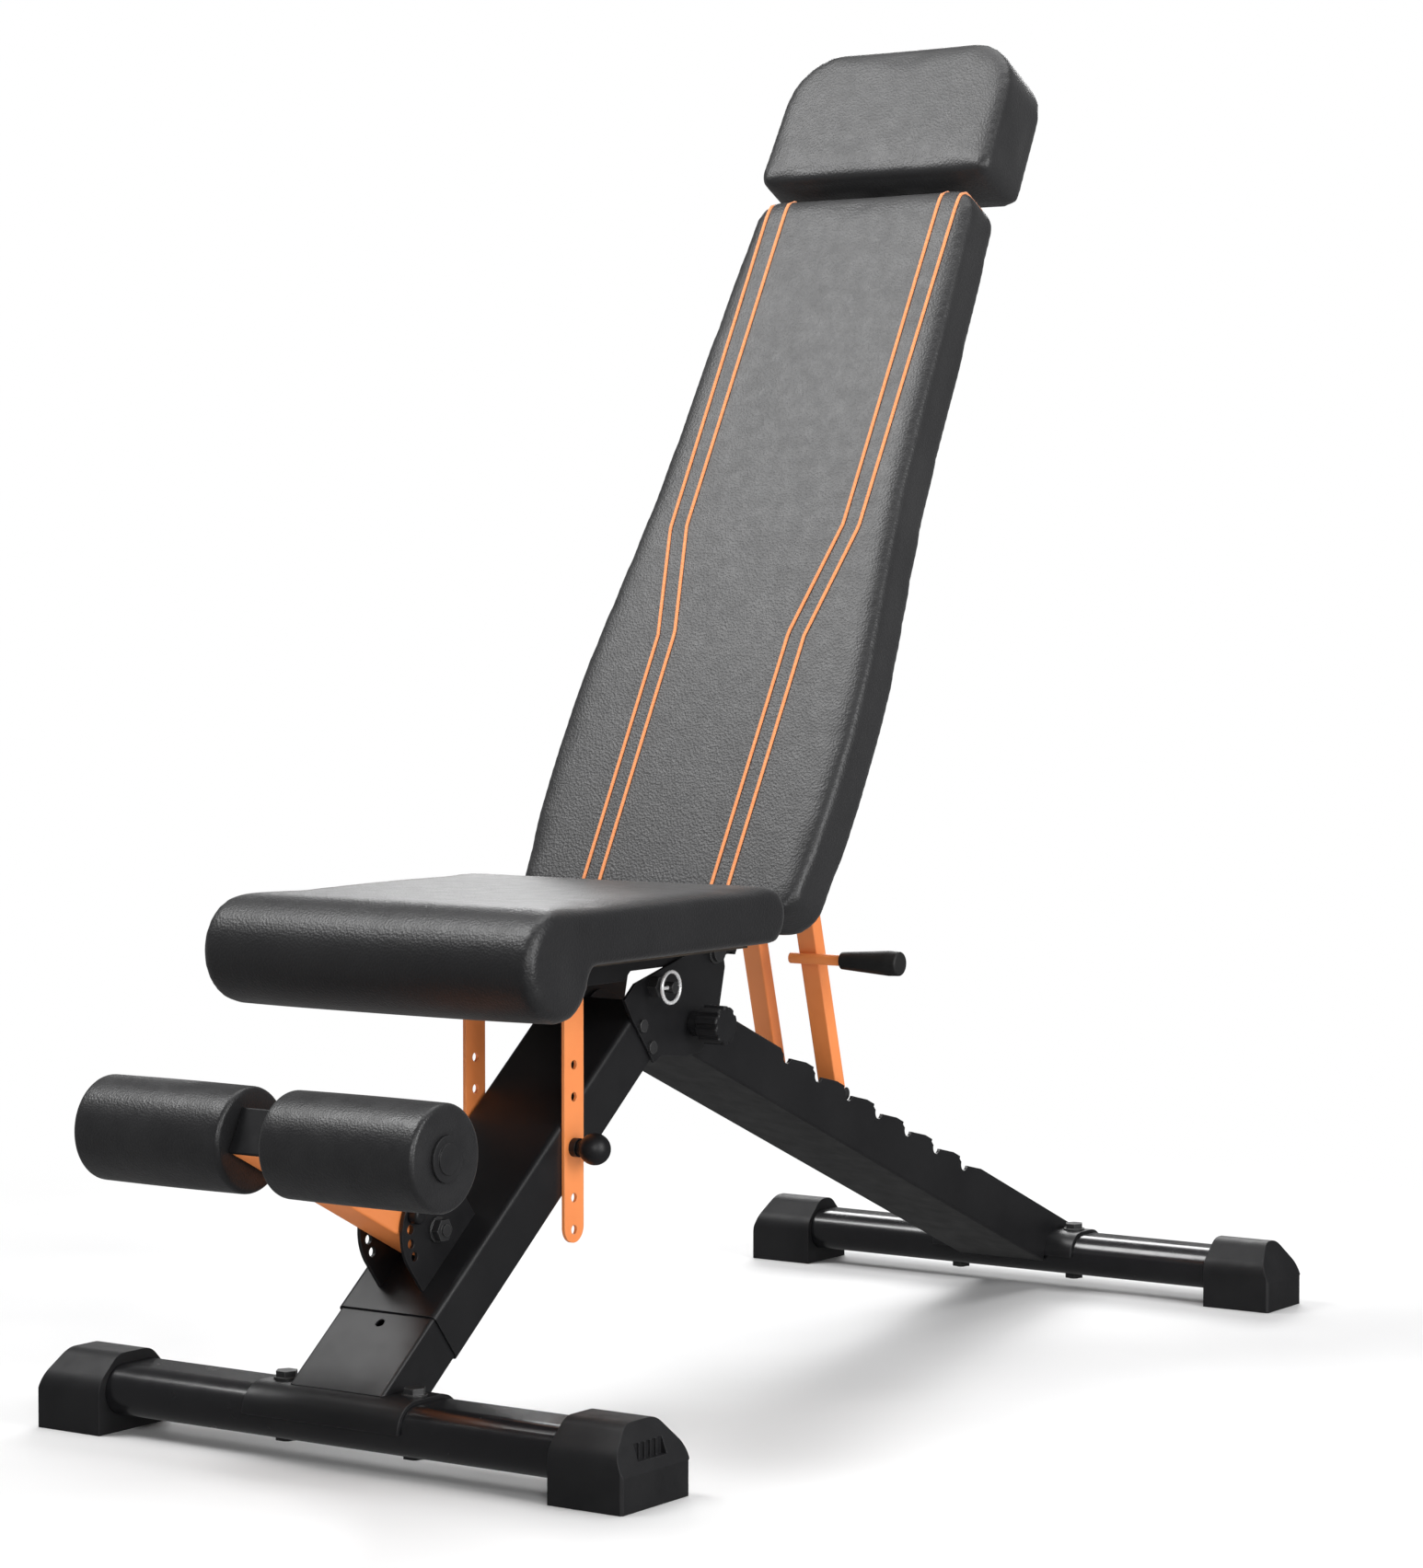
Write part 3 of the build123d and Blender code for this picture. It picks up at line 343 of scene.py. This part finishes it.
PAD_LEATHER = leather("pad_leather", (0.014, 0.014, 0.015), (0.022, 0.022, 0.023))
SEAT_LEATHER = leather("seat_leather_black", (0.008, 0.008, 0.009), (0.013, 0.013, 0.014),
                       shine=(0.40, 0.46))
ROLLER_FOAM = foam("roller_foam")
PIPING = woven("orange_piping", (0.82, 0.27, 0.09), (0.92, 0.36, 0.14))

SLOTS = {part["node"]: part["material_slot"] for part in frame["record"]["subparts"]}
for node, piece in frame["nodes"].items():
    finish = FINISHES.get(SLOTS[node])
    if finish is None:
        continue
    if not piece.material_slots:
        piece.data.materials.append(finish)
    for held in piece.material_slots:
        held.material = finish


# ---------------------------------------------------------------- mesh helpers
def made_object(name, points, faces, material, smooth=True):
    mesh = bpy.data.meshes.new(name)
    mesh.from_pydata([tuple(p) for p in points], [], faces)
    mesh.validate()
    shell = bmesh.new()
    shell.from_mesh(mesh)
    bmesh.ops.recalc_face_normals(shell, faces=shell.faces)
    shell.to_mesh(mesh)
    shell.free()
    mesh.materials.append(material)
    for face in mesh.polygons:
        face.use_smooth = smooth
    made = bpy.data.objects.new(name, mesh)
    scene.collection.objects.link(made)
    return made


def lofted(rings):
    """Quads between rings of equal length, with a polygon over the first and the last."""
    count = len(rings[0])
    points = [p for ring in rings for p in ring]
    faces = [list(range(count))[::-1]]
    for r in range(len(rings) - 1):
        a, b = r * count, (r + 1) * count
        for k in range(count):
            n = (k + 1) % count
            faces.append([a + k, a + n, b + n, b + k])
    last = (len(rings) - 1) * count
    faces.append(list(range(last, last + count)))
    return points, faces


def arc(centre, radius, start, end, steps):
    """Points of a circular arc, in degrees."""
    turns = np.radians(np.linspace(start, end, steps))
    return [(centre[0] + radius * cos(t), centre[1] + radius * sin(t)) for t in turns]


def resampled(loop, spacing):
    """A closed loop of points at even spacing."""
    loop = np.array(loop, float)
    closed = np.vstack([loop, loop[:1]])
    runs = np.linalg.norm(np.diff(closed, axis=0), axis=1)
    along = np.concatenate([[0], np.cumsum(runs)])
    count = int(along[-1] / spacing)
    at = np.linspace(0, along[-1], count, endpoint=False)
    return np.stack([np.interp(at, along, closed[:, k]) for k in (0, 1)], axis=1)


def shrunk(loop, inset):
    """A counter-clockwise closed loop moved inwards."""
    ahead, behind = np.roll(loop, -1, axis=0), np.roll(loop, 1, axis=0)
    along = ahead - behind
    along /= np.maximum(np.linalg.norm(along, axis=1), 1e-9)[:, None]
    inward = np.stack([-along[:, 1], along[:, 0]], axis=1)
    return loop + inward * inset


def rounded_prism(loop, near, far, radius_near, radius_far, steps=7):
    """Rings (2-D loop, depth) of a prism from near to far with rounded rims."""
    rings = []
    for turn in np.linspace(0, pi / 2, steps if radius_near else 1):
        rings.append((shrunk(loop, radius_near * (1 - sin(turn))), near + radius_near * (1 - cos(turn))))
    for turn in np.linspace(pi / 2, 0, steps if radius_far else 1):
        rings.append((shrunk(loop, radius_far * (1 - sin(turn))), far - radius_far * (1 - cos(turn))))
    return rings


def surface_of(piece):
    return BVHTree.FromObject(piece, bpy.context.evaluated_depsgraph_get())


VOXEL = 0.005         # spacing of the cushions' mesh
PRESSURE = 4.0        # inside the cushions while they swell
SWELL_FRAMES = 20


def upholstered(piece, limit, hold):
    """Remeshes the piece on its drawn surface, swells it as cloth, caps that, and smooths it.

    hold(points) gives how free each point is, from 0 where the pad rests on its board to 1.
    """
    drawn = surface_of(piece)
    remesh = piece.modifiers.new("remesh", "REMESH")
    remesh.mode = "VOXEL"
    remesh.voxel_size = VOXEL
    apply_modifiers(piece)
    mesh = piece.data
    rest = np.array([drawn.find_nearest(vertex.co)[0] for vertex in mesh.vertices], np.float32)
    mesh.vertices.foreach_set("co", rest.ravel())
    mesh.update()
    cloth = piece.modifiers.new("cloth", "CLOTH")
    cloth.settings.use_pressure = True
    cloth.settings.uniform_pressure_force = PRESSURE
    cloth.settings.quality = 5
    cloth.settings.effector_weights.gravity = 0
    cloth.point_cache.frame_start, cloth.point_cache.frame_end = 1, SWELL_FRAMES
    for step in range(1, SWELL_FRAMES + 1):
        scene.frame_set(step)
    apply_modifiers(piece)
    scene.frame_set(1)
    mesh = piece.data
    swollen = np.empty(len(mesh.vertices) * 3, np.float32)
    mesh.vertices.foreach_get("co", swollen)
    moved = swollen.reshape(-1, 3) - rest
    length = np.linalg.norm(moved, axis=1)
    soft = limit * np.tanh(length / limit) / np.maximum(length, 1e-9)
    final = rest + moved * (soft * hold(rest))[:, None]
    mesh.vertices.foreach_set("co", final.astype(np.float32).ravel())
    mesh.update()
    smooth = piece.modifiers.new("smooth", "SMOOTH")
    smooth.factor, smooth.iterations = 0.5, 5
    divide = piece.modifiers.new("divide", "SUBSURF")
    divide.levels = divide.render_levels = 1
    apply_modifiers(piece)
    for face in piece.data.polygons:
        face.use_smooth = True


def apply_modifiers(piece):
    """Bakes the piece's modifiers into its mesh."""
    graph = bpy.context.evaluated_depsgraph_get()
    baked = bpy.data.meshes.new_from_object(piece.evaluated_get(graph))
    material = piece.data.materials[0]
    piece.modifiers.clear()
    piece.data = baked
    baked.materials.clear()
    baked.materials.append(material)


def extent(node, direction):
    """How far a CAD node reaches along a direction: lowest and highest."""
    reach = [vertex.co.dot(direction) for vertex in frame["nodes"][node].data.vertices]
    return min(reach), max(reach)


# ---------------------------------------------------------------- seat cushion
seat_low, seat_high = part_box("seat_cushion")
seat_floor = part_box("seat_board")[0].z
ROLL = (seat_high.z - seat_low.z) / 2
roll_centre = (seat_low.y + ROLL, seat_high.z - ROLL)
SEAT_REAR_RADIUS = 24 * MM
SEAT_RIM = 8 * MM
SWELL = 2.5 * MM       # the pads start this much smaller and swell back
SEAT_STEP = 6 * MM     # from the roll's rear to the slab's underside
SEAT_HOLD = 0.012      # height over which the cover comes free of its board
PAD_HOLD = 0.014


def seat_profile():
    """Side view, counter-clockwise: rear end, top, front roll, step to the underside."""
    rear, top = seat_high.y - SEAT_REAR_RADIUS, seat_high.z
    loop = arc((rear, seat_floor + SEAT_REAR_RADIUS), SEAT_REAR_RADIUS, -90, 0, 12)
    loop += arc((rear, top - SEAT_REAR_RADIUS), SEAT_REAR_RADIUS, 0, 90, 12)
    loop += arc(roll_centre, ROLL, 90, 350, 60)
    corner = roll_centre[0] + ROLL + SEAT_STEP
    loop.append((corner, seat_floor))
    return resampled(loop, 4 * MM)


profile = shrunk(seat_profile(), SWELL)
half = seat_high.x - SWELL
rings = rounded_prism(profile, -half, half, SEAT_RIM, SEAT_RIM)
rings = [[(x, y, z) for y, z in ring] for ring, x in rings]
seat = made_object("seat_pad", *lofted(rings), SEAT_LEATHER)


def seat_freedom(points):
    """Held where the slab rests on its board, free on the roll, the top and the sides."""
    slab = points[:, 1] > roll_centre[0] + ROLL
    low = np.clip((points[:, 2] - seat_floor) / SEAT_HOLD, 0, 1)
    return np.where(slab, low, 1.0)


upholstered(seat, 2.5 * MM, seat_freedom)
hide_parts("seat_cushion")
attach(seat, "seat")

# ---------------------------------------------------------------- back and head pads
UP = Vector(JOINTS["head_pad_height"]["axis"]).normalized()
OUT = Vector((0, -UP.z, UP.y))


def on_back(x, height, out, foot):
    """A point of the backrest: across, along it from foot, and out from its mirror line."""
    return Vector((x, 0, 0)) + UP * (foot + height) + OUT * out


back_foot, back_top = extent("back_cushion", UP)
back_rear, back_face = extent("back_cushion", OUT)
BACK_FLANK = [(157, 60), (160, 95), (161.5, 128), (162, 170), (161, 213), (158.5, 255),
              (154, 298), (146.5, 365), (140, 433), (136.5, 505), (134, 578),
              (130, 655)]      # half width and height above the foot, mm
HIP_R, HIP_X = 36, 120         # lower corners, mm
SHOULDER_R, SHOULDER_X = 28, 97.5


OUTLINE_STEP = 5.0             # mm


def mirrored(right):
    """A counter-clockwise loop (x, height) from its right half, bottom to top."""
    return [(x, h) for x, h in right] + [(-x, h) for x, h in reversed(right)]


def back_loop():
    height = (back_top - back_foot) / MM
    hips = arc((HIP_X, HIP_R), HIP_R, -90, -22, 10)
    shoulder = arc((SHOULDER_X, height - SHOULDER_R), SHOULDER_R, 4, 90, 12)
    right = [(0, 0)] + hips + BACK_FLANK + shoulder + [(0, height)]
    return resampled(mirrored(right), OUTLINE_STEP) * MM


BOARD_GAP = 0.5 * MM


def pad(name, loop, foot, rear, face, rim, limit, rounded_rear):
    """A backrest pad from its outline, its back plane and its face."""
    inner = shrunk(loop, SWELL)
    rings = rounded_prism(inner, rear + BOARD_GAP, face - SWELL, rounded_rear, rim)
    rings = [[on_back(x, h, out, foot) for x, h in ring] for ring, out in rings]
    made = made_object(name, *lofted(rings), PAD_LEATHER)
    normal = np.array(OUT)

    def freedom(points):
        return np.clip((points @ normal - rear) / PAD_HOLD, 0, 1)

    upholstered(made, limit, freedom)
    return made


back = pad("back_pad", back_loop(), back_foot, back_rear, back_face, 7 * MM, 2 * MM, 6 * MM)
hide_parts("back_cushion")

head_foot, head_top = extent("head_cushion", UP)
head_rear, head_face = extent("head_cushion", OUT)
HEAD_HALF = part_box("head_cushion")[1].x / MM
CHIN_R, CROWN_R, CROWN_INSET = 14, 60, 63      # lower and upper corners, mm


def head_loop():
    height = (head_top - head_foot) / MM
    low = arc((HEAD_HALF - CHIN_R, CHIN_R), CHIN_R, -90, 0, 8)
    high = arc((HEAD_HALF - CROWN_INSET, height - CROWN_R), CROWN_R, 3, 90, 16)
    return resampled(mirrored([(0, 0)] + low + high + [(0, height)]), OUTLINE_STEP) * MM


head = pad("head_pad", head_loop(), head_foot, head_rear, head_face, 7 * MM, 1.2 * MM, 6 * MM)
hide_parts("head_cushion")
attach(head, "head_rest")

# ---------------------------------------------------------------- piping on the back pad
PIPING_LINES = {   # height above the foot and distance from the middle, mm
    "outer": [(25, 77.8), (277, 79.6), (389, 103.2), (752, 105.6)],
    "inner": [(25, 60.2), (280, 62.0), (392, 85.8), (752, 85.4)],
}
CORD_R = 1.6 * MM
CORD_LIFT = 0.35 * CORD_R      # the cord's middle above the cover
CORD_STEP = 6.0                # mm
FACE_END, EDGE_START, REAR_END = 8, 10.0, 4     # where a cord turns over the top edge, mm


def tube(name, path, radius, material, sides=8):
    """A round cord along a path of points."""
    rings = []
    for k, point in enumerate(path):
        along = (path[min(k + 1, len(path) - 1)] - path[max(k - 1, 0)]).normalized()
        across = along.cross(Vector((1, 0.02, 0.01))).normalized()
        third = along.cross(across)
        turns = [2 * pi * j / sides for j in range(sides)]
        rings.append([point + across * (radius * cos(t)) + third * (radius * sin(t)) for t in turns])
    return made_object(name, *lofted(rings), material)


back_surface = surface_of(back)


def piping_path(line, sign):
    """Follows the pad's face along a line, then over its top edge."""
    heights, offsets = zip(*line)
    path = []
    top = (back_top - back_foot) / MM
    for height in np.arange(heights[0], top - FACE_END, CORD_STEP):
        x = sign * np.interp(height, heights, offsets) * MM
        start = on_back(x, height * MM, back_face + 0.1, back_foot)
        hit = back_surface.ray_cast(start, -OUT)[0]
        path.append(hit + OUT * CORD_LIFT)
    for depth in np.arange(EDGE_START, (back_face - back_rear) / MM - REAR_END, CORD_STEP):
        x = sign * offsets[-1] * MM
        start = on_back(x, top * MM + 0.1, back_face - depth * MM, back_foot)
        hit = back_surface.ray_cast(start, -UP)[0]
        path.append(hit + UP * CORD_LIFT)
    return path


for line_name, line in PIPING_LINES.items():
    for side, sign in (("right", 1), ("left", -1)):
        cord = tube("piping_" + line_name + "_" + side, piping_path(line, sign), CORD_R, PIPING)
        cord.parent = back
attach(back, "backrest")


# ---------------------------------------------------------------- foam rollers
ROLLER_BORE, ROLLER_RIM, ROLLER_CROWN = 12.6 * MM, 4.5 * MM, 0.4 * MM
ROLLER_SIDES = 96


def roller_rings(low, high, axis):
    """Lathe profile of a roller: bore, slightly dished ends, soft rims, faint crown."""
    length, outer = high.x - low.x, (high.z - low.z) / 2
    rim = ROLLER_RIM
    profile = [(0.002, ROLLER_BORE), (0.0008, ROLLER_BORE + 6 * MM), (0.0, outer - rim)]
    profile += [(rim * (1 - cos(t)), outer - rim * (1 - sin(t))) for t in np.linspace(0.2, pi / 2, 7)]
    crown = [(rim + (length - 2 * rim) * f, outer + ROLLER_CROWN * sin(pi * f))
             for f in np.linspace(0.05, 0.95, 22)]
    profile = profile + crown + [(length - d, r) for d, r in reversed(profile)]
    turns = [2 * pi * k / ROLLER_SIDES for k in range(ROLLER_SIDES)]
    return [[(low.x + depth, axis.y + radius * cos(t), axis.z + radius * sin(t)) for t in turns]
            for depth, radius in profile]


for side in ("right", "left"):
    low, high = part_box("foam_roller_" + side)
    rings = roller_rings(low, high, (low + high) / 2)
    points, faces = lofted(rings)
    last = (len(rings) - 1) * ROLLER_SIDES
    bore = []
    for k in range(ROLLER_SIDES):
        n = (k + 1) % ROLLER_SIDES
        bore.append([k, n, last + n, last + k])
    roller = made_object("roller_" + side, points, faces[1:-1] + bore, ROLLER_FOAM)
    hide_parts("foam_roller_" + side)
    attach(roller, "roller_" + side)

# ---------------------------------------------------------------- floor
FLOOR_HALF = 14.0
FLOOR_DROP = 0.0002      # below the feet
corners = [(x * FLOOR_HALF, y * FLOOR_HALF, 0) for x, y in ((-1, -1), (1, -1), (1, 1), (-1, 1))]
floor = made_object("floor", corners, [[0, 1, 2, 3]], floor_finish("studio_floor"), smooth=False)
floor.location.z = cad_low.z - FLOOR_DROP
floor.visible_glossy = False      # the object does not mirror the floor
